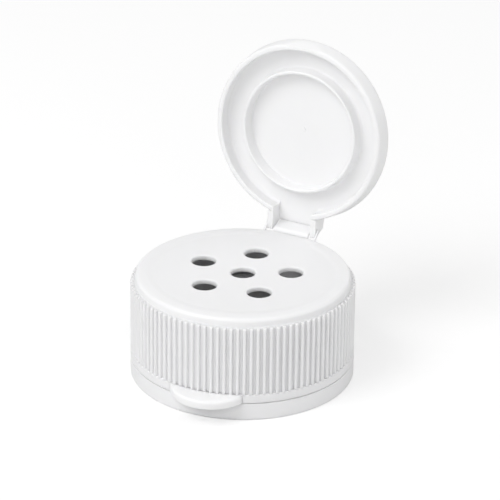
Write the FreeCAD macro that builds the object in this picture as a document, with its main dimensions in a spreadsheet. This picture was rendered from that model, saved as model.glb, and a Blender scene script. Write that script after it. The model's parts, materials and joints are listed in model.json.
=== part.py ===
import FreeCAD, Part
import math
import os
import re

import Sketcher

# Double flip top sifter cap for a 38 mm jar neck, modelled in millimetres.
# A base ring screws onto the jar and stays there. A ribbed sifter body lifts off it on a rear
# hinge, and a round lid opens over the sifter holes on a second hinge above the first.
# +Z is up on the cap axis, the origin is the centre of the bottom plane, and the hinges are at +Y.
# The lid stands open, and every hinge film is shown in that state.

# Driving dimensions: millimetres, degrees and one count. Each is written once, here.
SIZES = {
    # Overall
    "cap_radius": 22.5,             # base ring and rib crests
    "outer_wall": 1.2,              # wall behind the plain outer faces
    # Base ring, which holds the jar neck
    "neck_inset": 3.5,              # root of the neck thread inside the cap radius
    "sleeve_wall": 1.0,
    "sleeve_height": 12.2,
    "shoulder_bevel": 0.8,          # outer top edge of the sleeve
    "ring_height": 3.6,
    "ring_bevel": 0.35,             # outer bottom edge
    "land_thickness": 1.3,          # annular top that seals on the jar's rim
    "land_width": 3.8,              # from the neck wall in to the mouth
    "lip_wall": 1.1,                # raised lip round the mouth
    "lip_height": 1.2,
    "core_height": 2.4,             # groove under the ring that keeps its walls even
    "core_angle": 290.0,
    # Finger scoop in the base ring, under the tab
    "scoop_depth": 2.0,
    "scoop_radius": 55.0,           # seen from above
    "scoop_foot_height": 0.4,       # where the scoop runs out
    # Sifter body
    "seam_gap": 0.15,
    "band_height": 1.8,             # plain band under the ribs
    "body_height": 21.6,            # top of the deck above the bottom plane
    "skirt_wall": 1.5,              # at the seam
    "collar_inset": 1.0,            # smooth collar above the ribs
    "collar_height": 1.8,
    "deck_edge_bevel": 0.6,
    "deck_thickness": 1.0,
    "deck_slope_height": 0.15,      # fall of the deck's outer band
    "nest_depth": 0.2,              # middle of the deck, sunk to take the lid
    "nest_gap": 0.15,
    "plug_gap": 0.35,               # inner skirt round the lip of the mouth
    "plug_wall": 0.95,
    "plug_foot_gap": 0.3,           # inner skirt above the sleeve
    # Ribs
    "rib_count": 106,
    "rib_depth": 0.5,
    "rib_root_depth": 0.25,         # roots below the valleys
    "rib_root_width": 0.95,
    "rib_crest_width": 0.4,
    "rib_inset": 0.02,              # rib crests behind the face of the plain band
    "rib_tip_bevel": 0.45,          # slope that ends a rib under the collar
    # Sifter holes
    "hole_radius": 2.45,
    "hole_ring_radius": 9.55,
    "hole_count": 5,
    "hole_turn": 173.5,             # azimuth of the first hole
    # Lifting tab on the plain band
    "tab_turn": -81.4,
    "tab_radius": 8.0,
    "tab_reach": 4.0,               # beyond the cap radius
    "tab_blend_radius": 2.0,
    "tab_thickness": 1.8,
    # Lid
    "lid_inset": 3.75,              # lid radius inside the cap radius
    "rim_draft_width": 0.4,         # rim's outer face, from its base in to its open end
    "rim_end_width": 1.15,          # rim's thickness at its open end
    "rim_inner_draft_width": 0.2,
    "rim_bevel": 0.5,               # outer edge of the rim's open end
    "lid_depth": 3.2,
    "lid_thickness": 1.2,
    "lid_edge_radius": 1.1,
    "lid_gap": 0.1,                 # between the closed rim and the deck
    "seal_inset": 5.85,             # seal ring's outer base inside the lid radius
    "seal_base_width": 1.0,
    "seal_end_width": 0.5,
    "seal_height": 2.7,
    "gate_radius": 0.4,
    "gate_height": 0.12,
    "thumb_depth": 0.75,
    "thumb_radius": 60.0,
    "thumb_height": 1.8,
    # Hinge between lid and sifter body
    "hinge_inset": 1.3,             # axis inside the cap radius
    "arm_tip_radius": 0.45,         # arm tips about the axis, level with the closed rim's end
    "open_angle": 95.4,             # turn of the lid from closed to where it stands
    "arm_inner_half_width": 4.3,    # half the gap between the two arms
    "arm_width": 1.2,
    "arm_root_inset": 1.05,         # arm roots inside the lid radius
    "tongue_gap": 0.9,              # tongue's edge to the hinge axis
    "tongue_thickness": 0.9,
    "tongue_overlap": 1.75,         # of the tongue and the lid's floor
    "seat_half_width": 6.1,         # flat that the arms pass over
    "seat_corner_width": 0.9,
    "seat_corner_depth": 0.6,
    "seat_overlap": 1.5,            # of the flat and the sunk middle of the deck
    "strap_half_width": 3.9,
    "strap_thickness": 0.45,
    "strap_rise_height": 0.3,       # strap's knee above the hinge axis
    "strap_foot_gap": 0.65,         # inner face of the strap's foot to the hinge axis
    "web_thickness": 0.4,
    "web_foot_width": 0.6,
    "web_foot_gap": 1.3,            # web's foot to the hinge axis
    "web_tip_reach": 0.9,           # web's tip beyond the hinge axis
    "web_tip_height": 1.25,         # web's tip above the hinge axis
    # Hinge between sifter body and base ring
    "film_offset": 0.5,             # film's middle outside the cap radius
    "film_thickness": 0.4,
    "film_angle": 23.0,
    "film_foot_height": 0.9,
    "film_span_height": 1.0,        # from the seam to the near edge of each foot
}

document = FreeCAD.newDocument("sifter_cap")
sheet = document.addObject("Spreadsheet::Sheet", "sizes")
for row, (alias, number) in enumerate(SIZES.items(), start=1):
    sheet.set(f"A{row}", alias)
    sheet.set(f"B{row}", str(number))
    sheet.setAlias(f"B{row}", alias)
document.recompute()

# Heights and radii that several pieces share, as formulas of the driving dimensions.
NECK = "(cap_radius - neck_inset)"
MOUTH = f"({NECK} - land_width)"
SLEEVE = f"({NECK} + sleeve_wall)"
LIP = f"({MOUTH} + lip_wall)"
PLUG = f"({LIP} + plug_gap)"
SEAM_MIDDLE = "(ring_height + seam_gap / 2)"
SEAM_TOP = "(ring_height + seam_gap)"
BAND_TOP = f"({SEAM_TOP} + band_height)"
TAB_CENTRE = "(cap_radius + tab_reach - tab_radius)"
VALLEY = "(cap_radius - rib_depth)"
COLLAR = "(cap_radius - collar_inset)"
LEDGE = "(body_height - collar_height)"
NEST_FLOOR = "(body_height - nest_depth)"
DECK_UNDER = f"({NEST_FLOOR} - deck_thickness)"
LID = "(cap_radius - lid_inset)"
RIM_OUTER_END = f"({LID} - rim_draft_width)"
RIM_INNER_END = f"({RIM_OUTER_END} - rim_end_width)"
RIM_INNER_BASE = f"({RIM_INNER_END} + rim_inner_draft_width)"
NEST = f"({RIM_OUTER_END} + nest_gap)"
RIM_END = f"({NEST_FLOOR} + lid_gap)"
LID_FLOOR = f"({RIM_END} + lid_depth)"
LID_TOP = f"({LID_FLOOR} + lid_thickness)"
HINGE_OUT = "(cap_radius - hinge_inset)"
HINGE_HEIGHT = f"({RIM_END} + arm_tip_radius)"
TONGUE_OUT = f"({HINGE_OUT} - tongue_gap)"
TONGUE_IN = f"({RIM_INNER_BASE} - tongue_overlap)"
TONGUE_TOP = f"({LID_FLOOR} + tongue_thickness)"


def formula(text):
    """The text as an expression, with each alias pointing at the sheet."""
    return re.sub(r"[a-z_]+", lambda word: "sizes." + word[0] if word[0] in SIZES else word[0], text)


def value(text):
    """The number that a formula gives now."""
    return float(sheet.evalExpression(formula(text)))


def opened(out, up):
    """Formulas for where a point of the closed lid, given in the YZ plane, stands once it is open."""
    from_out = f"({out} - {HINGE_OUT})"
    from_up = f"({up} - {HINGE_HEIGHT})"
    return (
        f"({HINGE_OUT} + {from_out} * cos(open_angle) + {from_up} * sin(open_angle))",
        f"({HINGE_HEIGHT} - {from_out} * sin(open_angle) + {from_up} * cos(open_angle))",
    )


def bind(thing, **formulas):
    for name, text in formulas.items():
        thing.setExpression(name, formula(text))


def new_body(label):
    body = document.addObject("PartDesign::Body", label)
    body.Label = label
    return body


def origin_feature(body, role):
    return next(item for item in body.Origin.OriginFeatures if item.Role == role)


def new_sketch(body, name, plane, height=None, turn=None):
    """An empty sketch on an origin plane, raised by height and turned about Z where they are given."""
    sketch = body.newObject("Sketcher::SketchObject", name)
    sketch.AttachmentSupport = [(origin_feature(body, plane), "")]
    sketch.MapMode = "FlatFace"
    if height:
        bind(sketch, **{"AttachmentOffset.Base.z": height})
    if turn:
        about_z = FreeCAD.Rotation(FreeCAD.Vector(0, 0, 1), value(turn))
        sketch.AttachmentOffset = FreeCAD.Placement(FreeCAD.Vector(), about_z)
        bind(sketch, **{"AttachmentOffset.Rotation.Angle": turn})
    return sketch


def fix_point(sketch, item, end, across, up):
    """Hold a point of the sketch at formulas of the sheet."""
    for kind, text in (("DistanceX", across), ("DistanceY", up)):
        if text == "0":
            axis = -2 if kind == "DistanceX" else -1
            sketch.addConstraint(Sketcher.Constraint("PointOnObject", item, end, axis))
            continue
        index = sketch.addConstraint(Sketcher.Constraint(kind, -1, 1, item, end, value(text)))
        name = f"{kind}_{item}_{end}"
        sketch.renameConstraint(index, name)
        bind(sketch, **{f"Constraints.{name}": text})


def polygon(sketch, corners):
    """A closed outline of straight runs through corners, each a pair of formulas."""
    points = [FreeCAD.Vector(value(across), value(up), 0) for across, up in corners]
    for start, end in zip(points, points[1:] + points[:1]):
        sketch.addGeometry(Part.LineSegment(start, end), False)
    for index, (across, up) in enumerate(corners):
        before = (index - 1) % len(corners)
        sketch.addConstraint(Sketcher.Constraint("Coincident", before, 2, index, 1))
        fix_point(sketch, index, 1, across, up)
    return sketch


def revolve(body, name, corners, kind="Revolution", plane="XZ_Plane", angle=None):
    """Turn an outline about the cap axis, all round or through an angle centred on the plane."""
    sketch = polygon(new_sketch(body, name + "_outline", plane), corners)
    feature = body.newObject("PartDesign::" + kind, name)
    feature.Profile = sketch
    feature.ReferenceAxis = (sketch, ["V_Axis"])
    feature.Angle = 360.0
    if angle:
        feature.Midplane = True
        bind(feature, Angle=angle)
    return feature


def eased(body, kind, name, size, *places):
    """Fillet or chamfer the circular edges about the cap axis that lie at the given radii and heights."""
    document.recompute()
    base = body.Tip
    wanted = [(value(across), value(up)) for across, up in places]
    names = []
    for number, edge in enumerate(base.Shape.Edges, start=1):
        box = edge.BoundBox
        for across, up in wanted:
            flat = abs(box.ZMin - up) < 1e-4 and abs(box.ZMax - up) < 1e-4
            if flat and abs(math.hypot(*edge.Vertexes[0].Point[:2]) - across) < 1e-4:
                names.append(f"Edge{number}")
    feature = body.newObject("PartDesign::" + kind, name)
    feature.Base = (base, names)
    bind(feature, **{"Radius" if kind == "Fillet" else "Size": size})
    return feature


def cone_cut(body, name, turn, depth, curve, edge, fade, full):
    """A shallow conical scoop in an outer wall: it fades out at one height and has its full depth at another.

    The cone runs on past both heights by a quarter of its length, so that it meets no face at a tangent.
    """
    length = f"abs({full} - {fade})"
    small = f"({curve} - {depth} * 5 / 4)"
    large = f"({curve} + {depth} / 4)"
    upward = value(full) > value(fade)
    out = f"({edge} + {curve} - {depth})"
    cone = body.newObject("PartDesign::SubtractiveCone", name)
    bind(cone, Radius1=small if upward else large, Radius2=large if upward else small)
    bind(cone, Height=f"{length} * 3 / 2")
    bind(cone, **{
        "Placement.Base.x": f"{out} * cos({turn})",
        "Placement.Base.y": f"{out} * sin({turn})",
        "Placement.Base.z": f"{fade if upward else full} - {length} / 4",
    })
    return cone


def base_ring():
    body = new_body("base_ring")
    land = "(sleeve_height - land_thickness)"
    lip_top = "(sleeve_height + lip_height)"
    revolve(body, "ring_and_sleeve", [
        (NECK, "0"),
        ("cap_radius", "0"),
        ("cap_radius", "ring_height"),
        (SLEEVE, "ring_height"),
        (SLEEVE, "sleeve_height"),
        (LIP, "sleeve_height"),
        (LIP, lip_top),
        (MOUTH, lip_top),
        (MOUTH, land),
        (NECK, land),
    ])
    eased(body, "Chamfer", "foot_bevel", "ring_bevel", ("cap_radius", "0"))
    eased(body, "Chamfer", "shoulder_bevel", "shoulder_bevel", (SLEEVE, "sleeve_height"))
    core_outer = "(cap_radius - outer_wall)"
    revolve(body, "core_groove", [
        (SLEEVE, "0"),
        (core_outer, "0"),
        (core_outer, "core_height"),
        (SLEEVE, "core_height"),
    ], "Groove", "YZ_Plane", "core_angle")
    cone_cut(body, "finger_scoop", "tab_turn", "scoop_depth", "scoop_radius", "cap_radius",
             fade="scoop_foot_height", full="ring_height")
    return body


def tab_outline(sketch):
    """A round tab that runs into the band through a small blend on each side."""
    ring = value("cap_radius")
    centre = value(TAB_CENTRE)
    radius = value("tab_radius")
    blend = value("tab_blend_radius")
    root = ring - value("outer_wall") / 2
    # Angle at the cap axis between the tab's middle and the centre of a blend.
    spread = math.acos(((ring + blend) ** 2 + centre ** 2 - (radius + blend) ** 2)
                       / (2 * (ring + blend) * centre))
    blend_x = (ring + blend) * math.cos(spread)
    blend_y = (ring + blend) * math.sin(spread)
    toward = math.atan2(blend_y, blend_x - centre)
    normal = FreeCAD.Vector(0, 0, 1)

    def arc(middle_x, middle_y, size, start, end):
        circle = Part.Circle(FreeCAD.Vector(middle_x, middle_y, 0), normal, size)
        sketch.addGeometry(Part.ArcOfCircle(circle, start, end), False)

    def polar(size, angle):
        return FreeCAD.Vector(size * math.cos(angle), size * math.sin(angle), 0)

    arc(centre, 0, radius, -toward, toward)
    arc(blend_x, blend_y, blend, spread + math.pi, toward + math.pi)
    arc(blend_x, -blend_y, blend, math.pi - toward, math.pi - spread)
    sketch.addGeometry(Part.LineSegment(polar(ring, spread), polar(root, spread)), False)
    sketch.addGeometry(Part.LineSegment(polar(ring, -spread), polar(root, -spread)), False)
    arc(0, 0, root, -spread, spread)
    joined = Sketcher.Constraint
    sketch.addConstraint([
        joined("Tangent", 0, 2, 1, 2),
        joined("Tangent", 0, 1, 2, 1),
        joined("Coincident", 1, 1, 3, 1),
        joined("Coincident", 2, 2, 4, 1),
        joined("Coincident", 3, 2, 5, 2),
        joined("Coincident", 4, 2, 5, 1),
        joined("Coincident", 5, 3, -1, 1),
        joined("PointOnObject", 0, 3, -1),
        joined("PointOnObject", -1, 1, 3),
        joined("PointOnObject", -1, 1, 4),
        joined("PointOnObject", 1, 3, 3),
        joined("PointOnObject", 2, 3, 4),
    ])
    sizes = (
        ("tab_centre", joined("DistanceX", -1, 1, 0, 3, centre), TAB_CENTRE),
        ("tab_size", joined("Radius", 0, radius), "tab_radius"),
        ("left_blend", joined("Radius", 1, blend), "tab_blend_radius"),
        ("right_blend", joined("Radius", 2, blend), "tab_blend_radius"),
        ("left_foot", joined("Distance", -1, 1, 3, 1, ring), "cap_radius"),
        ("right_foot", joined("Distance", -1, 1, 4, 1, ring), "cap_radius"),
        ("root", joined("Radius", 5, root), "cap_radius - outer_wall / 2"),
    )
    for name, constraint, text in sizes:
        sketch.renameConstraint(sketch.addConstraint(constraint), name)
        bind(sketch, **{f"Constraints.{name}": text})
    return sketch


def sifter_holes(body):
    """One hole at the centre and a ring of holes round it."""
    cuts = []
    for name, out in (("centre_hole", "0"), ("ring_hole", "hole_ring_radius")):
        turn = None if out == "0" else "hole_turn"
        sketch = new_sketch(body, name + "_circle", "XY_Plane", DECK_UNDER, turn)
        circle = Part.Circle(FreeCAD.Vector(value(out), 0, 0), FreeCAD.Vector(0, 0, 1), value("hole_radius"))
        sketch.addGeometry(circle, False)
        fix_point(sketch, 0, 3, out, "0")
        sketch.addConstraint(Sketcher.Constraint("Radius", 0, value("hole_radius")))
        sketch.renameConstraint(sketch.ConstraintCount - 1, "hole")
        bind(sketch, **{"Constraints.hole": "hole_radius"})
        cut = body.newObject("PartDesign::Pocket", name)
        cut.Profile = sketch
        cut.Reversed = True
        bind(cut, Length="deck_thickness + nest_depth")
        cuts.append(cut)
    ring = body.newObject("PartDesign::PolarPattern", "hole_ring")
    ring.Originals = [cuts[-1]]
    ring.Axis = (origin_feature(body, "Z_Axis"), [""])
    ring.Angle = 360.0
    bind(ring, Occurrences="hole_count")
    body.Tip = ring


def ribs(body):
    """Upright grip ribs from the plain band to the collar, each tapered to its crest and bevelled at its tip."""
    root = f"({VALLEY} - rib_root_depth)"
    sketch = polygon(new_sketch(body, "rib_section", "XY_Plane", BAND_TOP), [
        (root, "-rib_root_width / 2"),
        ("cap_radius - rib_inset", "-rib_crest_width / 2"),
        ("cap_radius - rib_inset", "rib_crest_width / 2"),
        (root, "rib_root_width / 2"),
    ])
    rib = body.newObject("PartDesign::Pad", "rib")
    rib.Profile = sketch
    bind(rib, Length=f"{LEDGE} - {BAND_TOP}")
    tip = body.newObject("PartDesign::Pocket", "rib_tip")
    tip.Profile = polygon(new_sketch(body, "rib_tip_outline", "XZ_Plane"), [
        ("cap_radius", f"{LEDGE} - rib_tip_bevel"),
        ("cap_radius", f"{LEDGE} + rib_tip_bevel"),
        ("cap_radius - rib_tip_bevel", f"{LEDGE} + rib_tip_bevel"),
        ("cap_radius - rib_tip_bevel", LEDGE),
    ])
    tip.Midplane = True
    bind(tip, Length="rib_root_width * 2")
    pattern = body.newObject("PartDesign::PolarPattern", "rib_ring")
    pattern.Originals = [rib, tip]
    pattern.Axis = (origin_feature(body, "Z_Axis"), [""])
    pattern.Angle = 360.0
    bind(pattern, Occurrences="rib_count")
    body.Tip = pattern


def sifter_body():
    body = new_body("sifter_body")
    plug_bottom = "(sleeve_height + plug_foot_gap)"
    plug_outer = f"({PLUG} + plug_wall)"
    inner_top = f"({COLLAR} - outer_wall)"
    revolve(body, "shell", [
        ("cap_radius - skirt_wall", SEAM_TOP),
        ("cap_radius", SEAM_TOP),
        ("cap_radius", BAND_TOP),
        (VALLEY, BAND_TOP),
        (VALLEY, LEDGE),
        (COLLAR, LEDGE),
        (COLLAR, "body_height - deck_slope_height"),
        (NEST, "body_height"),
        (NEST, NEST_FLOOR),
        ("0", NEST_FLOOR),
        ("0", DECK_UNDER),
        (PLUG, DECK_UNDER),
        (PLUG, plug_bottom),
        (plug_outer, plug_bottom),
        (plug_outer, DECK_UNDER),
        (inner_top, DECK_UNDER),
    ])
    ribs(body)
    eased(body, "Chamfer", "deck_edge", "deck_edge_bevel", (COLLAR, "body_height - deck_slope_height"))
    sifter_holes(body)
    hinge_seat(body)
    tab = body.newObject("PartDesign::Pad", "lifting_tab")
    tab.Profile = tab_outline(new_sketch(body, "tab_outline", "XY_Plane", SEAM_TOP, "tab_turn"))
    bind(tab, Length="tab_thickness")
    return body


def hinge_seat(body):
    """The flat in line with the lid's hinge, square at the deck's edge, that the arms pass over."""
    seat_angle = f"2 * asin(seat_half_width / {COLLAR})"
    inner = f"({COLLAR} - seat_corner_width)"
    below = f"({NEST_FLOOR} - seat_corner_depth)"
    revolve(body, "seat_corner", [
        (inner, below),
        (COLLAR, below),
        (COLLAR, NEST_FLOOR),
        (inner, NEST_FLOOR),
    ], "Revolution", "YZ_Plane", seat_angle)
    sketch = polygon(new_sketch(body, "seat_outline", "XY_Plane", NEST_FLOOR), [
        ("-seat_half_width", f"{NEST} - seat_overlap"),
        ("seat_half_width", f"{NEST} - seat_overlap"),
        ("seat_half_width", "cap_radius"),
        ("-seat_half_width", "cap_radius"),
    ])
    cut = body.newObject("PartDesign::Pocket", "seat_flat")
    cut.Profile = sketch
    cut.Reversed = True
    bind(cut, Length="nest_depth * 2")


def lid():
    body = new_body("lid")
    seal_end = f"({LID_FLOOR} - seal_height)"
    seal_outer = f"({LID} - seal_inset)"
    seal_inner = f"({seal_outer} - seal_base_width)"
    seal_draft = "((seal_base_width - seal_end_width) / 2)"
    edge_steps = [
        (f"{LID} - lid_edge_radius * (1 - cos({angle}))", f"{LID_TOP} - lid_edge_radius * (1 - sin({angle}))")
        for angle in (0, 30, 60, 90)
    ]
    revolve(body, "dish", [
        ("0", LID_FLOOR),
        (seal_inner, LID_FLOOR),
        (f"{seal_inner} + {seal_draft}", seal_end),
        (f"{seal_outer} - {seal_draft}", seal_end),
        (seal_outer, LID_FLOOR),
        (RIM_INNER_BASE, LID_FLOOR),
        (RIM_INNER_END, RIM_END),
        (RIM_OUTER_END, RIM_END),
        *edge_steps,
        ("0", LID_TOP),
    ])
    eased(body, "Chamfer", "rim_edge", "rim_bevel", (RIM_OUTER_END, RIM_END))
    cone_cut(body, "thumb_relief", "-90", "thumb_depth", "thumb_radius", RIM_OUTER_END,
             fade=f"({RIM_END} + thumb_height)", full=RIM_END)
    gate = body.newObject("PartDesign::AdditiveCylinder", "gate_mark")
    bind(gate, Radius="gate_radius", Height="gate_height * 2")
    bind(gate, **{"Placement.Base.z": f"{LID_FLOOR} - gate_height"})
    gap = body.newObject("PartDesign::Pocket", "rim_gap")
    gap.Profile = polygon(new_sketch(body, "rim_gap_outline", "XY_Plane", RIM_END), [
        ("-arm_inner_half_width", TONGUE_IN),
        ("arm_inner_half_width", TONGUE_IN),
        ("arm_inner_half_width", "cap_radius"),
        ("-arm_inner_half_width", "cap_radius"),
    ])
    gap.Reversed = True
    bind(gap, Length="lid_depth")
    tongue = body.newObject("PartDesign::Pad", "tongue")
    tongue.Profile = polygon(new_sketch(body, "tongue_outline", "XY_Plane", LID_FLOOR), [
        ("-arm_inner_half_width - arm_width / 2", TONGUE_IN),
        ("arm_inner_half_width + arm_width / 2", TONGUE_IN),
        ("arm_inner_half_width + arm_width / 2", TONGUE_OUT),
        ("-arm_inner_half_width - arm_width / 2", TONGUE_OUT),
    ])
    bind(tongue, Length="tongue_thickness")
    hinge_arms(body)
    turned = "rotation(vector(-1; 0; 0); open_angle)"
    about = f"vector(0; {HINGE_OUT}; {HINGE_HEIGHT})"
    bind(body, Placement=f"placement(vector(0; 0; 0); {turned}; {about})")
    return body


def hinge_arms(body):
    """Two arms, one each side of the rim's gap, that end in a round about the hinge axis."""
    sketch = new_sketch(body, "arm_outline", "YZ_Plane", "arm_inner_half_width")
    root = f"({LID} - arm_root_inset)"
    corners = [
        (root, RIM_END),
        (HINGE_OUT, RIM_END),
        (f"{HINGE_OUT} + arm_tip_radius", HINGE_HEIGHT),
        (TONGUE_OUT, f"{LID_FLOOR} + tongue_thickness / 2"),
        (root, TONGUE_TOP),
    ]
    points = [FreeCAD.Vector(value(across), value(up), 0) for across, up in corners]
    for index, (start, end) in enumerate(zip(points, points[1:] + points[:1])):
        if index == 1:
            centre = FreeCAD.Vector(value(HINGE_OUT), value(HINGE_HEIGHT), 0)
            round_end = Part.Circle(centre, FreeCAD.Vector(0, 0, 1), value("arm_tip_radius"))
            sketch.addGeometry(Part.ArcOfCircle(round_end, -math.pi / 2, 0.0), False)
        else:
            sketch.addGeometry(Part.LineSegment(start, end), False)
    for index, (across, up) in enumerate(corners):
        before = (index - 1) % len(corners)
        sketch.addConstraint(Sketcher.Constraint("Coincident", before, 2, index, 1))
        fix_point(sketch, index, 1, across, up)
    sketch.addConstraint(Sketcher.Constraint("Radius", 1, value("arm_tip_radius")))
    sketch.renameConstraint(sketch.ConstraintCount - 1, "tip")
    bind(sketch, **{"Constraints.tip": "arm_tip_radius"})
    arm = body.newObject("PartDesign::Pad", "arm")
    arm.Profile = sketch
    bind(arm, Length="arm_width")
    pair = body.newObject("PartDesign::Mirrored", "arm_pair")
    pair.Originals = [arm]
    pair.MirrorPlane = (origin_feature(body, "YZ_Plane"), [""])
    body.Tip = pair


def lid_hinge_strap():
    """The middle film of the lid's hinge: up from the deck's edge, over a knee and out to the tongue."""
    body = new_body("lid_hinge_strap")
    inner_out, inner_up = opened(TONGUE_OUT, LID_FLOOR)
    outer_out, outer_up = opened(TONGUE_OUT, f"({LID_FLOOR} + strap_thickness)")
    foot = f"({HINGE_OUT} - strap_foot_gap)"
    knee = f"({HINGE_HEIGHT} + strap_rise_height)"
    outline = polygon(new_sketch(body, "strap_outline", "YZ_Plane"), [
        (foot, NEST_FLOOR),
        (f"{foot} + strap_thickness", NEST_FLOOR),
        (f"{foot} + strap_thickness * 3 / 2", f"{knee} - strap_thickness"),
        (outer_out, f"{outer_up} - strap_thickness"),
        (outer_out, outer_up),
        (inner_out, inner_up),
        (f"{foot} + strap_thickness", knee),
    ])
    strap = body.newObject("PartDesign::Pad", "strap")
    strap.Profile = outline
    strap.Midplane = True
    bind(strap, Length="strap_half_width * 2")
    return body


def lid_hinge_web(label, side):
    """A three-cornered side film from the deck's edge up the outer face of one arm."""
    body = new_body(label)
    arm_face = "(arm_inner_half_width + arm_width)"
    start = arm_face if side > 0 else f"(-{arm_face} - web_thickness)"
    foot = f"({HINGE_OUT} - web_foot_gap)"
    tip_out = f"({HINGE_OUT} + web_tip_reach)"
    tip_height = f"({HINGE_HEIGHT} + web_tip_height)"
    outline = polygon(new_sketch(body, "web_outline", "YZ_Plane", start), [
        (foot, NEST_FLOOR),
        (f"{foot} + web_foot_width", NEST_FLOOR),
        (tip_out, tip_height),
        (f"{tip_out} - web_thickness", f"{tip_height} + web_thickness / 2"),
    ])
    web = body.newObject("PartDesign::Pad", "web")
    web.Profile = outline
    bind(web, Length="web_thickness")
    return body


def base_hinge_strap():
    """A bowed film across the seam, outside the wall, between the base ring and the sifter body."""
    body = new_body("base_hinge_strap")
    outside = "(cap_radius + film_offset + film_thickness / 2)"
    inside = "(cap_radius + film_offset - film_thickness / 2)"
    near = "film_span_height"
    far = "(film_span_height + film_foot_height)"
    revolve(body, "film", [
        ("cap_radius", f"{SEAM_MIDDLE} - {far}"),
        (outside, f"{SEAM_MIDDLE} - {near} + film_thickness"),
        (outside, f"{SEAM_MIDDLE} + {near} - film_thickness"),
        ("cap_radius", f"{SEAM_MIDDLE} + {far}"),
        ("cap_radius", f"{SEAM_MIDDLE} + {near}"),
        (inside, f"{SEAM_MIDDLE} + {near} / 2"),
        (inside, f"{SEAM_MIDDLE} - {near} / 2"),
        ("cap_radius", f"{SEAM_MIDDLE} - {near}"),
    ], "Revolution", "YZ_Plane", "film_angle")
    return body


PIECES = [
    base_ring(),
    base_hinge_strap(),
    sifter_body(),
    lid_hinge_strap(),
    lid_hinge_web("lid_hinge_web_left", -1),
    lid_hinge_web("lid_hinge_web_right", 1),
    lid(),
]
document.recompute()
faults = [item.Name for item in document.Objects if {"Invalid", "Error"} & set(item.State)]
if faults:
    raise RuntimeError(f"not rebuilt: {faults}")
for piece in PIECES:
    if piece.Shape.isNull() or not piece.Shape.isValid() or len(piece.Shape.Solids) != 1:
        raise RuntimeError(f"{piece.Label} is not one valid solid")

os.makedirs("parts", exist_ok=True)
for piece in PIECES:
    piece.Shape.exportStep(f"parts/{piece.Label}.step")
    print(f"{piece.Label}: {piece.Shape.Volume:.1f} mm3")
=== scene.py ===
"""The sifter cap's finished look: moulded white polypropylene, living hinges and the neck thread.

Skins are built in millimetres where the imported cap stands, and each finished piece is in metres.
"""

import json
import math

import bmesh
import bpy
from mathutils import Matrix, Vector


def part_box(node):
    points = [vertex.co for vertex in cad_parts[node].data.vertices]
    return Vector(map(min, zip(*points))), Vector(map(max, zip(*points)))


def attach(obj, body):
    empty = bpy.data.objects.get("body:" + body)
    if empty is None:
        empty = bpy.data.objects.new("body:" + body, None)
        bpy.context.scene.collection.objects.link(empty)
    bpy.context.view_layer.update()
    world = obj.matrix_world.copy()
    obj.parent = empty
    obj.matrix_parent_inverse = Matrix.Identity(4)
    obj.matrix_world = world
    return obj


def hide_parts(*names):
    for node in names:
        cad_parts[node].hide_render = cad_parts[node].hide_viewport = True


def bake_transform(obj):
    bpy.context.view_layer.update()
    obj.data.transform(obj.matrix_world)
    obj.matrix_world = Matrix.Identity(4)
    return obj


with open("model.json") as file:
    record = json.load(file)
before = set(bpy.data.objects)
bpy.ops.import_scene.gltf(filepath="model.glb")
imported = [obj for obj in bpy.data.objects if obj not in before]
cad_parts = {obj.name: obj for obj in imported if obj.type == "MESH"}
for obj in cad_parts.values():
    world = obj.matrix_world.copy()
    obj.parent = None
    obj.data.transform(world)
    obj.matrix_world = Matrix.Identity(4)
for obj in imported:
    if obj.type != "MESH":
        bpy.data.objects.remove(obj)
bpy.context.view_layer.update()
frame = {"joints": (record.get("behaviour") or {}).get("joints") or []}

MM = 0.001

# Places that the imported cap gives, in millimetres.
RING_LOW, RING_HIGH = (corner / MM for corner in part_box("base_ring"))
BODY_LOW, BODY_HIGH = (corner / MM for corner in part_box("sifter_body"))
JOINTS = {joint["name"]: joint for joint in frame["joints"]}
LID_HINGE = Vector(JOINTS["lid_hinge"]["pos_m"]) / MM
LID_OPEN = math.radians(-JOINTS["lid_hinge"]["range_deg"][0])

CAP_RADIUS = RING_HIGH.x
DECK_TOP = BODY_HIGH.z
SEAM_TOP = BODY_LOW.z
LIP_TOP = RING_HIGH.z

TURNS = 318                       # steps round every full turning, three to a rib
OUTER_WALL = 1.2

# Sifter body
NEST_FLOOR = DECK_TOP - 0.2       # middle of the deck, sunk to take the lid
DECK_UNDER = NEST_FLOOR - 1.0
NEST_RADIUS = 18.5
COLLAR = CAP_RADIUS - 1.0
COLLAR_TOP = DECK_TOP - 0.15
LEDGE = DECK_TOP - 1.8            # collar's lower edge, where the ribs end
VALLEY = CAP_RADIUS - 0.5
BAND_TOP = SEAM_TOP + 1.8
SKIRT_WALL = 1.5                  # at the seam
PLUG_INNER = 16.65                # inner skirt round the lip of the mouth
PLUG_OUTER = 17.6
PLUG_FOOT = 12.5
HOLE_RADIUS = 2.45
HOLE_RING = 9.55
HOLE_TURN = math.radians(173.5)
HOLE_COUNT = 5                    # round the one in the middle
SEAT_HALF_WIDTH = 6.1             # flat that the lid's arms pass over
SEAT_BLEND = 0.6
RIBS = 106
RIB_ROOT = VALLEY - 0.25
RIB_CREST = CAP_RADIUS - 0.02
RIB_ROOT_HALF_WIDTH = 0.475
RIB_TAPER = 0.42                  # crest width over root width
TAB_TURN = math.radians(-81.4)
TAB_CENTRE = 18.5
TAB_RADIUS = 8.0
TAB_ROOT = 21.2                   # the tab's disc is cut off here, inside the band

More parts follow.
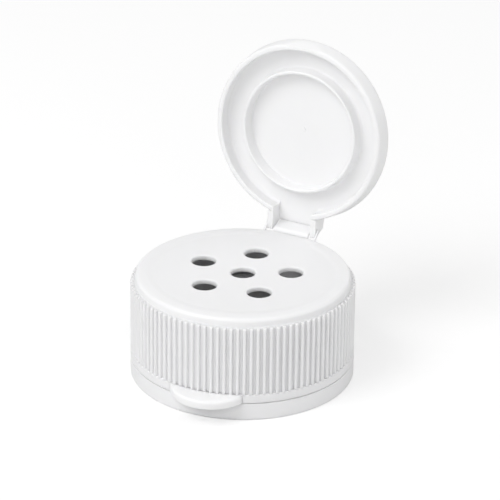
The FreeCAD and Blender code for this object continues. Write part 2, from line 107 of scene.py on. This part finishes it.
# Base ring
RING_TOP = SEAM_TOP - 0.15
NECK_RADIUS = 19.0
SLEEVE = 20.0
SLEEVE_TOP = LIP_TOP - 1.2
LAND = SLEEVE_TOP - 1.3
MOUTH = 15.2
LIP = 16.3
CORE_HEIGHT = 2.4                 # groove under the ring, which stops short of the finger scoop
CORE_HALF_ANGLE = math.radians(145.0)
SCOOP_RADIUS = 55.0
SCOOP_DEPTH = 2.0
SCOOP_FOOT = 0.4
THREAD_PITCH = 4.23
THREAD_TURNS = 1.25
THREAD_STEPS = 96                 # to one turn of the thread
THREAD_DEPTH = 1.1
THREAD_START = 2.3

# Lid, where it would lie closed on the deck
RIM_DEPTH = 3.2
RIM_END = NEST_FLOOR + 0.1
LID_FLOOR = RIM_END + RIM_DEPTH
LID_TOP = LID_FLOOR + 1.2
LID_RADIUS = 18.75
RIM_OUTER_END = 18.35
RIM_INNER_END = 17.2
RIM_INNER_BASE = 17.4
SEAL_END = LID_FLOOR - 2.7
SEAL_INNER_BASE = 11.9
SEAL_INNER_END = 12.1
SEAL_OUTER_END = 12.7
SEAL_OUTER_BASE = 12.9
GATE_RADIUS = 0.4
GATE_HEIGHT = 0.12
THUMB_RADIUS = 60.0
THUMB_DEPTH = 0.75
THUMB_HEIGHT = 1.8
ARM_INNER = 4.3
ARM_OUTER = 5.5
ARM_ROOT = 17.7
TONGUE_IN = 15.6
TONGUE_OUT = 20.3
TONGUE_THICKNESS = 0.9

# Living hinges
STRAP_HALF_WIDTH = 3.9
WEB_THICKNESS = 0.4
BACK_FILM_HALF_ANGLE = math.radians(11.5)

# Camera, in turns of the cap's own axes and in cap radii
CAMERA_TURN = math.radians(27.6)
CAMERA_RISE = 0.43476
CAMERA_ROLL = -0.01134
CAMERA_DISTANCE = 26.954
LENS_RATIO = 6.0                  # focal length over the sensor's width
AIM_ASIDE = -0.00265              # of the distance, from the middle of the base
AIM_BELOW = 0.03931


# ---------------------------------------------------------------- shaping

def chain(bm, outline, centre=(0.0, 0.0), closed=False):
    """Corners and edges of an outline of (radius, height) places beside an upright axis."""
    corners = [bm.verts.new((centre[0] + radius, centre[1], height)) for radius, height in outline]
    following = corners[1:] + (corners[:1] if closed else [])
    return corners, [bm.edges.new(pair) for pair in zip(corners, following)]


def turned(outline, steps=TURNS, centre=(0.0, 0.0), closed=False):
    """A skin turned about an upright axis from an outline of (radius, height) places."""
    bm = bmesh.new()
    corners, edges = chain(bm, outline, centre, closed)
    bmesh.ops.spin(bm, geom=corners + edges, cent=(*centre, 0.0), axis=(0, 0, 1), angle=math.tau,
                   steps=steps, use_merge=True)
    bmesh.ops.remove_doubles(bm, verts=bm.verts, dist=1e-5)
    bmesh.ops.recalc_face_normals(bm, faces=bm.faces)
    return bm


def everything(bm):
    return list(bm.verts) + list(bm.edges) + list(bm.faces)


def raise_faces(bm, faces, vec):
    """Extrude faces along a vector."""
    raised = bmesh.ops.extrude_face_region(bm, geom=faces)
    verts = [item for item in raised["geom"] if isinstance(item, bmesh.types.BMVert)]
    bmesh.ops.translate(bm, verts=verts, vec=vec)


def fill_open_ends(bm):
    bmesh.ops.holes_fill(bm, edges=[edge for edge in bm.edges if edge.is_boundary])


def on_ring(edge, radius, height, centre=(0.0, 0.0)):
    """Whether an edge runs round its axis at this radius and height."""
    for vert in edge.verts:
        out = math.hypot(vert.co.x - centre[0], vert.co.y - centre[1])
        if abs(out - radius) > 0.02 or abs(vert.co.z - height) > 0.02:
            return False
    return True


def ease(bm, size, segments, *places, centre=(0.0, 0.0)):
    """Round the ring edges that lie at the given (radius, height) places."""
    edges = [edge for edge in bm.edges
             if any(on_ring(edge, *place, centre=centre) for place in places)]
    ease_edges(bm, edges, size, segments)


def ease_edges(bm, edges, size, segments):
    bmesh.ops.bevel(bm, geom=edges, offset=size, segments=segments, profile=0.5, affect="EDGES",
                    material=-1, clamp_overlap=True)


def open_edges(bm, height):
    """The open edges of a skin that lie at one height."""
    return [edge for edge in bm.edges
            if edge.is_boundary and all(abs(vert.co.z - height) < 0.001 for vert in edge.verts)]


def scoop(bm, turn, curve, depth, edge, fade, full):
    """Press a shallow conical hollow into an outer wall, from none at fade to deepest at full."""
    axis_out = edge + curve - depth
    for vert in bm.verts:
        share = (vert.co.z - fade) / (full - fade)
        if share <= 0.0:
            continue
        cone = curve - depth + depth * min(share, 1.2)
        out = math.hypot(vert.co.x, vert.co.y)
        swing = math.atan2(vert.co.y, vert.co.x) - turn
        across = axis_out * math.sin(swing)
        if math.cos(swing) < 0.5 or abs(across) > cone or out < edge - 1.3 * depth:
            continue
        wall = axis_out * math.cos(swing) - math.sqrt(cone * cone - across * across)
        if wall < out:
            vert.co.x *= wall / out
            vert.co.y *= wall / out


def slab(corners, low, high):
    """A plate with this outline in the YZ plane, from low to high along X."""
    bm = bmesh.new()
    face = bm.faces.new([bm.verts.new((low, out, up)) for out, up in corners])
    raise_faces(bm, [face], (high - low, 0, 0))
    bmesh.ops.recalc_face_normals(bm, faces=bm.faces)
    return bm


def block(low, high):
    """A rectangular block between two corners."""
    bm = bmesh.new()
    size = Vector(high) - Vector(low)
    middle = (Vector(high) + Vector(low)) / 2
    place = Matrix.Translation(middle) @ Matrix.Diagonal((*size, 1.0))
    bmesh.ops.create_cube(bm, size=1.0, matrix=place)
    return bm


def loose_piece(bm, name):
    mesh = bpy.data.meshes.new(name)
    bm.to_mesh(mesh)
    bm.free()
    piece = bpy.data.objects.new(name, mesh)
    bpy.context.scene.collection.objects.link(piece)
    return piece


def combined(bm, others, operation):
    """The skin after a union with, or a cut by, each of the other skins."""
    piece = loose_piece(bm, "work")
    tools = [loose_piece(other, "tool") for other in others]
    for tool in tools:
        change = piece.modifiers.new("change", "BOOLEAN")
        change.operation = operation
        change.solver = "EXACT"
        change.object = tool
    view = bpy.context.evaluated_depsgraph_get()
    mesh = bpy.data.meshes.new_from_object(piece.evaluated_get(view))
    result = bmesh.new()
    result.from_mesh(mesh)
    for thing in [piece] + tools:
        bpy.data.objects.remove(thing)
    return result


def add_skin(bm, other):
    """Add a second skin to the first."""
    mesh = bpy.data.meshes.new("joined")
    other.to_mesh(mesh)
    other.free()
    bm.from_mesh(mesh)
    bpy.data.meshes.remove(mesh)


def finished(bm, name, material, sharp=38.0, turn=None):
    """Bring a skin to metres as a named piece, smooth but for its creases, with its finish."""
    if turn:
        bmesh.ops.transform(bm, matrix=turn, verts=bm.verts)
    bmesh.ops.scale(bm, vec=(MM, MM, MM), verts=bm.verts)
    piece = loose_piece(bm, name)
    piece.data.shade_smooth()
    piece.data.set_sharp_from_angle(angle=math.radians(sharp))
    piece.data.materials.append(material)
    return piece


def even_shading(piece):
    """Let the large faces set the shading, so that flats stay flat beside their rounded edges."""
    weigh = piece.modifiers.new("even_shading", "WEIGHTED_NORMAL")
    weigh.keep_sharp = True
    weigh.weight = 60
    return piece


# ---------------------------------------------------------------- finishes

def moulded_surface_group():
    """Fine spark-eroded grain and slow sink of a moulded wall, as a roughness value and a normal."""
    group = bpy.data.node_groups.new("moulded_surface", "ShaderNodeTree")
    for name, default in (
            ("Grain Size", 9000.0), ("Grain Depth", 0.08), ("Sink Depth", 0.02), ("Roughness", 0.4)):
        socket = group.interface.new_socket(name=name, in_out="INPUT", socket_type="NodeSocketFloat")
        socket.default_value = default
    group.interface.new_socket(name="Roughness", in_out="OUTPUT", socket_type="NodeSocketFloat")
    group.interface.new_socket(name="Normal", in_out="OUTPUT", socket_type="NodeSocketVector")
    nodes = group.nodes
    links = group.links
    given = nodes.new("NodeGroupInput")
    out = nodes.new("NodeGroupOutput")
    place = nodes.new("ShaderNodeTexCoord")
    grain = nodes.new("ShaderNodeTexNoise")
    grain.inputs["Detail"].default_value = 3.0
    sink = nodes.new("ShaderNodeTexNoise")
    sink.inputs["Scale"].default_value = 260.0
    sink.inputs["Detail"].default_value = 1.0
    links.new(place.outputs["Object"], grain.inputs["Vector"])
    links.new(place.outputs["Object"], sink.inputs["Vector"])
    links.new(given.outputs["Grain Size"], grain.inputs["Scale"])
    slow = nodes.new("ShaderNodeBump")
    slow.inputs["Distance"].default_value = 0.0001
    links.new(given.outputs["Sink Depth"], slow.inputs["Strength"])
    links.new(sink.outputs["Fac"], slow.inputs["Height"])
    fine = nodes.new("ShaderNodeBump")
    fine.inputs["Distance"].default_value = 0.00002
    links.new(given.outputs["Grain Depth"], fine.inputs["Strength"])
    links.new(grain.outputs["Fac"], fine.inputs["Height"])
    links.new(slow.outputs["Normal"], fine.inputs["Normal"])
    links.new(fine.outputs["Normal"], out.inputs["Normal"])
    spread = nodes.new("ShaderNodeMapRange")
    spread.inputs["To Min"].default_value = -0.04
    spread.inputs["To Max"].default_value = 0.04
    links.new(sink.outputs["Fac"], spread.inputs["Value"])
    total = nodes.new("ShaderNodeMath")
    total.operation = "ADD"
    links.new(given.outputs["Roughness"], total.inputs[0])
    links.new(spread.outputs["Result"], total.inputs[1])
    links.new(total.outputs["Value"], out.inputs["Roughness"])
    return group


MOULDED_SURFACE = moulded_surface_group()


def polypropylene(name, roughness, grain_depth):
    """White polypropylene: satin, with a little light carried under the skin."""
    material = bpy.data.materials.new(name)
    material.use_nodes = True
    nodes = material.node_tree.nodes
    links = material.node_tree.links
    shader = nodes["Principled BSDF"]
    surface = nodes.new("ShaderNodeGroup")
    surface.node_tree = MOULDED_SURFACE
    surface.inputs["Roughness"].default_value = roughness
    surface.inputs["Grain Depth"].default_value = grain_depth
    links.new(surface.outputs["Roughness"], shader.inputs["Roughness"])
    links.new(surface.outputs["Normal"], shader.inputs["Normal"])
    shader.inputs["Base Color"].default_value = (0.87, 0.87, 0.875, 1.0)
    shader.inputs["IOR"].default_value = 1.49
    shader.inputs["Subsurface Weight"].default_value = 0.6
    shader.inputs["Subsurface Radius"].default_value = (1.0, 1.0, 0.95)
    shader.inputs["Subsurface Scale"].default_value = 0.0012
    return material


SATIN_WHITE = polypropylene("satin_white", roughness=0.42, grain_depth=0.08)
HINGE_WHITE = polypropylene("worked_hinge_white", roughness=0.32, grain_depth=0.03)


# ---------------------------------------------------------------- sifter body

def hole_places():
    """The axis of each sifter hole: one in the middle and five round it."""
    turns = [HOLE_TURN + step * math.tau / HOLE_COUNT for step in range(HOLE_COUNT)]
    return [(0.0, 0.0)] + [(HOLE_RING * math.cos(turn), HOLE_RING * math.sin(turn)) for turn in turns]


def sifter_shell():
    """Deck, collar, skirt and inner plug skirt, with a soft lip at each hole."""
    plate_edge = NEST_RADIUS - 0.9
    under_edge = PLUG_INNER - 0.6
    step_foot = (NEST_RADIUS - 0.35, NEST_FLOOR)
    step_top = (NEST_RADIUS + 0.55, DECK_TOP)
    outline = [
        (plate_edge, NEST_FLOOR),
        step_foot,
        step_top,
        (COLLAR, COLLAR_TOP),
        (COLLAR, LEDGE),
        (VALLEY, LEDGE),
        (VALLEY, BAND_TOP),
        (CAP_RADIUS, BAND_TOP),
        (CAP_RADIUS, SEAM_TOP),
        (CAP_RADIUS - SKIRT_WALL, SEAM_TOP),
        (COLLAR - OUTER_WALL, DECK_UNDER),
        (PLUG_OUTER, DECK_UNDER),
        (PLUG_OUTER, PLUG_FOOT),
        (PLUG_INNER, PLUG_FOOT),
        (PLUG_INNER, DECK_UNDER),
        (under_edge, DECK_UNDER),
    ]
    bm = turned(outline)
    ease(bm, 0.4, 4, step_foot, step_top)
    ease(bm, 0.75, 7, (COLLAR, COLLAR_TOP))
    ease(bm, 0.3, 4, (COLLAR, LEDGE))
    ease(bm, 0.2, 3, (VALLEY, LEDGE), (CAP_RADIUS, BAND_TOP))
    ease(bm, 0.12, 2, (CAP_RADIUS, SEAM_TOP))
    ease(bm, 0.2, 2, (PLUG_OUTER, PLUG_FOOT), (PLUG_INNER, PLUG_FOOT))
    for place in hole_places():
        lip = turned([
            (HOLE_RADIUS + 0.6, NEST_FLOOR),
            (HOLE_RADIUS, NEST_FLOOR),
            (HOLE_RADIUS, DECK_UNDER),
            (HOLE_RADIUS + 0.3, DECK_UNDER),
        ], steps=72, centre=place)
        ease(lip, 0.35, 5, (HOLE_RADIUS, NEST_FLOOR), centre=place)
        add_skin(bm, lip)
    for height in (NEST_FLOOR, DECK_UNDER):
        bmesh.ops.triangle_fill(bm, use_beauty=True, edges=open_edges(bm, height))
    sink_hinge_seat(bm)
    bmesh.ops.recalc_face_normals(bm, faces=bm.faces)
    return even_shading(finished(bm, "sifter_shell", SATIN_WHITE))


def sink_hinge_seat(bm):
    """Lower the deck's rim to the nest floor in line with the lid's hinge, under its arms."""
    for vert in bm.verts:
        if vert.co.y > 15.0 and vert.co.z > NEST_FLOOR:
            share = (SEAT_HALF_WIDTH + SEAT_BLEND / 2 - abs(vert.co.x)) / SEAT_BLEND
            share = min(max(share, 0.0), 1.0)
            vert.co.z -= (vert.co.z - NEST_FLOOR) * share * share * (3.0 - 2.0 * share)


def grip_ribs():
    """One rib with a soft crest and a rounded tip, repeated round the skirt."""
    bm = block((RIB_ROOT, -RIB_ROOT_HALF_WIDTH, BAND_TOP - 0.2),
               (RIB_CREST, RIB_ROOT_HALF_WIDTH, LEDGE))
    outer = [vert for vert in bm.verts if vert.co.x > RIB_ROOT + 0.1]
    bmesh.ops.scale(bm, vec=(1.0, RIB_TAPER, 1.0), verts=outer)
    tip = [edge for edge in bm.edges
           if all(vert in outer and vert.co.z > LEDGE - 0.01 for vert in edge.verts)]
    ease_edges(bm, tip, 0.45, 4)
    crests = [edge for edge in bm.edges if all(vert.co.x > VALLEY for vert in edge.verts)
              and abs(edge.verts[0].co.y - edge.verts[1].co.y) < 0.01
              and edge.calc_face_angle(0.0) > 0.5]
    ease_edges(bm, crests, 0.16, 3)
    bmesh.ops.spin(bm, geom=everything(bm), cent=(0, 0, 0), axis=(0, 0, 1),
                   angle=math.tau * (RIBS - 1) / RIBS, steps=RIBS - 1, use_duplicate=True)
    return finished(bm, "grip_ribs", SATIN_WHITE, sharp=50.0)


def lifting_tab():
    """The round tab on the plain band, softened above and below its outer edge."""
    bm = bmesh.new()
    bmesh.ops.create_circle(bm, cap_ends=True, segments=128, radius=TAB_RADIUS,
                            matrix=Matrix.Translation((TAB_CENTRE, 0, SEAM_TOP)))
    bmesh.ops.bisect_plane(bm, geom=everything(bm), dist=1e-5, plane_co=(TAB_ROOT, 0, 0),
                           plane_no=(-1, 0, 0), clear_outer=True)
    fill_open_ends(bm)
    raise_faces(bm, list(bm.faces), (0, 0, BAND_TOP - SEAM_TOP))
    bmesh.ops.recalc_face_normals(bm, faces=bm.faces)
    for height, size, segments in ((BAND_TOP, 0.6, 6), (SEAM_TOP, 0.3, 4)):
        edges = [edge for edge in bm.edges
                 if all(abs(vert.co.z - height) < 0.001 for vert in edge.verts)
                 and max(vert.co.x for vert in edge.verts) > TAB_ROOT + 0.01]
        ease_edges(bm, edges, size, segments)
    tab = finished(bm, "lifting_tab", SATIN_WHITE, turn=Matrix.Rotation(TAB_TURN, 4, "Z"))
    return even_shading(tab)


# ---------------------------------------------------------------- base ring

def in_core(face):
    """Whether a face of the ring's foot lies where the core groove is cut."""
    middle = face.calc_center_median()
    swing = math.atan2(middle.y, middle.x) - math.radians(90.0)
    return (abs(face.normal.z) > 0.9 and middle.z < 0.01
            and SLEEVE < math.hypot(*middle.xy) < CAP_RADIUS - OUTER_WALL
            and abs(math.remainder(swing, math.tau)) < CORE_HALF_ANGLE)


def jar_ring():
    """The ring that stays on the jar: plain wall, neck sleeve, sealing land and the mouth's lip."""
    wall = [(CAP_RADIUS, RING_TOP * step / 6) for step in range(7)]
    outline = [(NECK_RADIUS, 0.0), (SLEEVE, 0.0), (CAP_RADIUS - OUTER_WALL, 0.0)] + wall + [
        (SLEEVE, RING_TOP),
        (SLEEVE, SLEEVE_TOP),
        (LIP, SLEEVE_TOP),
        (LIP, LIP_TOP),
        (MOUTH, LIP_TOP),
        (MOUTH, LAND),
        (NECK_RADIUS, LAND),
    ]
    bm = turned(outline, closed=True)
    core = [face for face in bm.faces if in_core(face)]
    raise_faces(bm, core, (0, 0, CORE_HEIGHT))
    bmesh.ops.delete(bm, geom=core, context="FACES")
    ease(bm, 0.35, 4, (CAP_RADIUS, 0.0))
    ease(bm, 0.12, 2, (CAP_RADIUS, RING_TOP))
    ease(bm, 0.8, 6, (SLEEVE, SLEEVE_TOP))
    ease(bm, 0.2, 3, (LIP, LIP_TOP), (MOUTH, LIP_TOP))
    scoop(bm, TAB_TURN, SCOOP_RADIUS, SCOOP_DEPTH, CAP_RADIUS, SCOOP_FOOT, RING_TOP)
    bmesh.ops.recalc_face_normals(bm, faces=bm.faces)
    return even_shading(finished(bm, "jar_ring", SATIN_WHITE))


def neck_thread():
    """One and a quarter turns of right-hand thread that grips the jar's neck."""
    crest = NECK_RADIUS - THREAD_DEPTH
    root = NECK_RADIUS + 0.1
    bm = bmesh.new()
    corners, edges = chain(bm, [
        (root, THREAD_START - 1.1),
        (crest, THREAD_START - 0.35),
        (crest, THREAD_START + 0.35),
        (root, THREAD_START + 1.1),
    ], closed=True)
    bmesh.ops.spin(bm, geom=corners + edges, cent=(0, 0, 0), axis=(0, 0, 1),
                   dvec=(0, 0, THREAD_PITCH / THREAD_STEPS), angle=math.tau * THREAD_TURNS,
                   steps=int(THREAD_STEPS * THREAD_TURNS))
    fill_open_ends(bm)
    bmesh.ops.recalc_face_normals(bm, faces=bm.faces)
    return finished(bm, "neck_thread", SATIN_WHITE)


# ---------------------------------------------------------------- lid

def lid_turn():
    """The turn that opens the closed lid about its hinge to where it stands."""
    return (Matrix.Translation(LID_HINGE) @ Matrix.Rotation(LID_OPEN, 4, Vector((-1, 0, 0)))
            @ Matrix.Translation(-LID_HINGE))


def lid_shell():
    """The dished lid with its rim, seal ring, gate mark, thumb relief, tongue and two hinge arms."""
    draft = LID_RADIUS - RIM_OUTER_END
    outer = [(RIM_OUTER_END + draft * step / 6, RIM_END + RIM_DEPTH * step / 6) for step in range(7)]
    outline = [
        (GATE_RADIUS, LID_FLOOR - GATE_HEIGHT),
        (GATE_RADIUS, LID_FLOOR),
        (SEAL_INNER_BASE, LID_FLOOR),
        (SEAL_INNER_END, SEAL_END),
        (SEAL_OUTER_END, SEAL_END),
        (SEAL_OUTER_BASE, LID_FLOOR),
        (RIM_INNER_BASE, LID_FLOOR),
        (RIM_INNER_END, RIM_END),
    ] + outer + [
        (LID_RADIUS, LID_TOP),
        (8.0, LID_TOP),
    ]
    bm = turned(outline)
    ease(bm, 1.08, 8, (LID_RADIUS, LID_TOP))
    ease(bm, 0.45, 5, (RIM_OUTER_END, RIM_END))
    ease(bm, 0.2, 3, (RIM_INNER_END, RIM_END))
    ease(bm, 0.8, 5, (RIM_INNER_BASE, LID_FLOOR))
    ease(bm, 0.5, 4, (SEAL_OUTER_BASE, LID_FLOOR))
    ease(bm, 0.25, 3, (SEAL_INNER_BASE, LID_FLOOR))
    ease(bm, 0.26, 4, (SEAL_INNER_END, SEAL_END), (SEAL_OUTER_END, SEAL_END))
    ease(bm, 0.08, 2, (GATE_RADIUS, LID_FLOOR - GATE_HEIGHT))
    fill_open_ends(bm)
    scoop(bm, math.radians(-90.0), THUMB_RADIUS, THUMB_DEPTH, RIM_OUTER_END,
          RIM_END + THUMB_HEIGHT, RIM_END)
    bmesh.ops.recalc_face_normals(bm, faces=bm.faces)
    gap = block((-ARM_INNER, TONGUE_IN, RIM_END - 1.0), (ARM_INNER, 20.0, LID_FLOOR))
    bm = combined(bm, [gap], "DIFFERENCE")
    tongue = block((-ARM_INNER - 0.6, TONGUE_IN, LID_FLOOR),
                   (ARM_INNER + 0.6, TONGUE_OUT, LID_FLOOR + TONGUE_THICKNESS))
    far_edge = [edge for edge in tongue.edges
                if all(vert.co.y > 20.0 and vert.co.z > LID_FLOOR + 0.5 for vert in edge.verts)]
    ease_edges(tongue, far_edge, 0.3, 4)
    bm = combined(bm, [tongue, hinge_arm(1.0), hinge_arm(-1.0)], "UNION")
    return even_shading(finished(bm, "lid_shell", SATIN_WHITE, turn=lid_turn()))


def hinge_arm(side):
    """An arm from the rim to the hinge, rounded where it turns over the deck's edge."""
    reach = LID_HINGE.z - RIM_END
    tip = LID_HINGE.y + reach
    low, high = sorted((side * ARM_INNER, side * ARM_OUTER))
    bm = slab([
        (ARM_ROOT, RIM_END),
        (tip, RIM_END),
        (tip, LID_HINGE.z),
        (TONGUE_OUT, LID_FLOOR + TONGUE_THICKNESS / 2),
        (ARM_ROOT, LID_FLOOR + TONGUE_THICKNESS),
    ], low, high)
    corner = [edge for edge in bm.edges
              if all(vert.co.y > tip - 0.01 and vert.co.z < RIM_END + 0.01 for vert in edge.verts)]
    ease_edges(bm, corner, reach * 0.98, 6)
    long_edges = [edge for edge in bm.edges if abs(edge.verts[0].co.x - edge.verts[1].co.x) < 0.01
                  and abs(edge.verts[0].co.x) > ARM_INNER + 0.5
                  and all(vert.co.y > 18.0 or vert.co.z < RIM_END + 1.0 for vert in edge.verts)]
    ease_edges(bm, long_edges, 0.2, 3)
    return bm


# ---------------------------------------------------------------- living hinges

def opened(out, up):
    """Where a point of the closed lid, given in the YZ plane, stands once the lid is open."""
    place = lid_turn() @ Vector((0.0, out, up))
    return place.y, place.z


def lid_hinge_film():
    """The middle film, which climbs from the deck's edge, bows over a knee and meets the tongue."""
    inner = opened(TONGUE_OUT - 0.1, LID_FLOOR + 0.02)
    outer = opened(TONGUE_OUT - 0.1, LID_FLOOR + 0.47)
    bm = slab([
        (20.55, NEST_FLOOR - 0.1),
        (21.1, NEST_FLOOR - 0.1),
        (21.3, NEST_FLOOR + 0.35),
        (outer[0], outer[1] - 0.45),
        (outer[0], outer[1]),
        inner,
        (21.05, NEST_FLOOR + 0.82),
    ], -STRAP_HALF_WIDTH, STRAP_HALF_WIDTH)
    knees = [edge for edge in bm.edges if abs(edge.verts[0].co.x - edge.verts[1].co.x) > 1.0
             and 20.9 < edge.verts[0].co.y < 21.4 and edge.verts[0].co.z > NEST_FLOOR + 0.2]
    ease_edges(bm, knees, 0.28, 5)
    return finished(bm, "lid_hinge_film", HINGE_WHITE, sharp=50.0)


def hinge_web(name, side):
    """A three-cornered side film that keeps the lid standing open."""
    low = ARM_OUTER if side > 0 else -ARM_OUTER - WEB_THICKNESS
    bm = slab([
        (19.9, NEST_FLOOR - 0.05),
        (20.6, NEST_FLOOR - 0.05),
        (22.2, 23.05),
        (21.7, 23.4),
    ], low, low + WEB_THICKNESS)
    ease_edges(bm, list(bm.edges), 0.08, 2)
    return finished(bm, name, HINGE_WHITE, sharp=50.0)


def base_hinge_film():
    """The bowed film across the seam at the back, from the ring up to the plain band."""
    middle = (RING_TOP + SEAM_TOP) / 2
    foot = CAP_RADIUS - 0.1
    bm = bmesh.new()
    corners, edges = chain(bm, [
        (foot, middle - 1.9),
        (CAP_RADIUS + 0.7, middle - 0.6),
        (CAP_RADIUS + 0.7, middle + 0.6),
        (foot, middle + 1.9),
        (foot, middle + 1.0),
        (CAP_RADIUS + 0.3, middle + 0.5),
        (CAP_RADIUS + 0.3, middle - 0.5),
        (foot, middle - 1.0),
    ], closed=True)
    start = Matrix.Rotation(math.radians(90.0) - BACK_FILM_HALF_ANGLE, 3, "Z")
    bmesh.ops.rotate(bm, verts=corners, cent=(0, 0, 0), matrix=start)
    bmesh.ops.spin(bm, geom=corners + edges, cent=(0, 0, 0), axis=(0, 0, 1),
                   angle=2 * BACK_FILM_HALF_ANGLE, steps=24)
    fill_open_ends(bm)
    bmesh.ops.recalc_face_normals(bm, faces=bm.faces)
    bends = [edge for edge in bm.edges
             if all(CAP_RADIUS + 0.2 < math.hypot(*vert.co.xy) for vert in edge.verts)
             and abs(edge.verts[0].co.z - edge.verts[1].co.z) < 0.001
             and edge.calc_face_angle(0.0) > 0.3
             and abs(math.hypot(*edge.verts[0].co.xy) - math.hypot(*edge.verts[1].co.xy)) < 0.01]
    ease_edges(bm, bends, 0.15, 3)
    return finished(bm, "base_hinge_film", HINGE_WHITE, sharp=50.0)


# ---------------------------------------------------------------- put together

shell = sifter_shell()
ribs = grip_ribs()
tab = lifting_tab()
for piece in (shell, ribs, tab):
    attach(piece, "sifter")
    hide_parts("sifter_body")

ring = jar_ring()
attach(ring, "base")
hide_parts("base_ring")
thread = neck_thread()
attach(thread, "base")

lid = lid_shell()
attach(lid, "lid")
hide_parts("lid")

film = lid_hinge_film()
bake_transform(film)
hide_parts("lid_hinge_strap")
for name, side in (("lid_hinge_web_left", -1.0), ("lid_hinge_web_right", 1.0)):
    web = hinge_web(name.replace("web", "side_film"), side)
    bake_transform(web)
    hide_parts(name)

back_film = base_hinge_film()
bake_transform(back_film)
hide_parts("base_hinge_strap")


# ---------------------------------------------------------------- stage, light and camera

def white_floor():
    """A plain pale floor that reads as white and keeps the cap's soft shadow."""
    bm = bmesh.new()
    bmesh.ops.create_grid(bm, x_segments=1, y_segments=1, size=4.0)
    floor = loose_piece(bm, "studio_floor")
    material = bpy.data.materials.new("studio_white")
    material.use_nodes = True
    nodes = material.node_tree.nodes
    links = material.node_tree.links
    nodes.clear()
    out = nodes.new("ShaderNodeOutputMaterial")
    mix = nodes.new("ShaderNodeMixShader")
    seen = nodes.new("ShaderNodeLightPath")
    bounce = nodes.new("ShaderNodeBsdfDiffuse")
    bounce.inputs["Color"].default_value = (0.8, 0.8, 0.8, 1.0)
    shadow = nodes.new("ShaderNodeBsdfDiffuse")
    shadow.inputs["Color"].default_value = (0.55, 0.55, 0.55, 1.0)
    glow = nodes.new("ShaderNodeEmission")
    glow.inputs["Strength"].default_value = 0.5
    both = nodes.new("ShaderNodeAddShader")
    links.new(shadow.outputs["BSDF"], both.inputs[0])
    links.new(glow.outputs["Emission"], both.inputs[1])
    links.new(seen.outputs["Is Camera Ray"], mix.inputs["Fac"])
    links.new(bounce.outputs["BSDF"], mix.inputs[1])
    links.new(both.outputs["Shader"], mix.inputs[2])
    links.new(mix.outputs["Shader"], out.inputs["Surface"])
    floor.data.materials.append(material)


def studio_world():
    """Even white surroundings."""
    world = bpy.data.worlds.new("studio")
    bpy.context.scene.world = world
    world.use_nodes = True
    nodes = world.node_tree.nodes
    links = world.node_tree.links
    nodes.clear()
    out = nodes.new("ShaderNodeOutputWorld")
    seen = nodes.new("ShaderNodeLightPath")
    sight = nodes.new("ShaderNodeMath")
    sight.operation = "MAXIMUM"
    links.new(seen.outputs["Is Camera Ray"], sight.inputs[0])
    links.new(seen.outputs["Is Glossy Ray"], sight.inputs[1])
    fill = nodes.new("ShaderNodeBackground")
    fill.inputs["Color"].default_value = (1.0, 1.0, 1.0, 1.0)
    fill.inputs["Strength"].default_value = 0.38
    white = nodes.new("ShaderNodeBackground")
    white.inputs["Color"].default_value = (1.0, 1.0, 1.0, 1.0)
    white.inputs["Strength"].default_value = 1.0
    mix = nodes.new("ShaderNodeMixShader")
    links.new(sight.outputs["Value"], mix.inputs["Fac"])
    links.new(fill.outputs["Background"], mix.inputs[1])
    links.new(white.outputs["Background"], mix.inputs[2])
    links.new(mix.outputs["Shader"], out.inputs["Surface"])


def softbox(name, place, aim, size, power):
    data = bpy.data.lights.new(name, "AREA")
    data.shape = "RECTANGLE"
    data.size, data.size_y = size
    data.energy = power
    lamp = bpy.data.objects.new(name, data)
    bpy.context.scene.collection.objects.link(lamp)
    toward = Vector(aim) - Vector(place)
    lamp.rotation_euler = toward.to_track_quat("-Z", "Y").to_euler()
    lamp.location = place
    return lamp


def camera_axes(turn, rise, roll):
    """The camera's right, down and forward directions."""
    swing = Matrix.Rotation(turn, 3, "Z")
    forward = swing @ Vector((0, math.cos(rise), -math.sin(rise)))
    flat_right = swing @ Vector((1, 0, 0))
    up = swing @ Vector((0, math.sin(rise), math.cos(rise)))
    right = flat_right * math.cos(roll) - up * math.sin(roll)
    down = -flat_right * math.sin(roll) - up * math.cos(roll)
    return right, down, forward


def catalogue_camera():
    """A long lens from the front right, a little above the deck."""
    right, down, forward = camera_axes(CAMERA_TURN, CAMERA_RISE, CAMERA_ROLL)
    distance = CAMERA_DISTANCE * CAP_RADIUS * MM
    place = -(right * AIM_ASIDE * distance + down * AIM_BELOW * distance + forward * distance)
    data = bpy.data.cameras.new("catalogue_camera")
    data.sensor_width = 36.0
    data.lens = LENS_RATIO * data.sensor_width
    data.clip_start = 0.05
    data.clip_end = 20.0
    camera = bpy.data.objects.new("catalogue_camera", data)
    bpy.context.scene.collection.objects.link(camera)
    axes = Matrix((right, -down, -forward)).transposed().to_4x4()
    camera.matrix_world = Matrix.Translation(place) @ axes
    bpy.context.scene.camera = camera
    return right, forward


white_floor()
studio_world()
side, ahead = catalogue_camera()
level = Vector((ahead.x, ahead.y, 0)).normalized()
aim = (0, 0, 0.02)
softbox("key_from_the_left", -side * 0.55 - level * 0.35 + Vector((0, 0, 0.75)), aim, (0.6, 0.6), 4.8)
softbox("top_light", level * 0.1 + Vector((0, 0, 0.9)), aim, (0.8, 0.8), 1.1)
softbox("front_light", -level * 0.9 + Vector((0, 0, 0.4)), aim, (0.8, 0.6), 1.8)
softbox("fill_from_the_right", side * 0.9 + Vector((0, 0, 0.4)), aim, (0.6, 0.6), 2.0)

bpy.context.scene.view_settings.view_transform = "Standard"
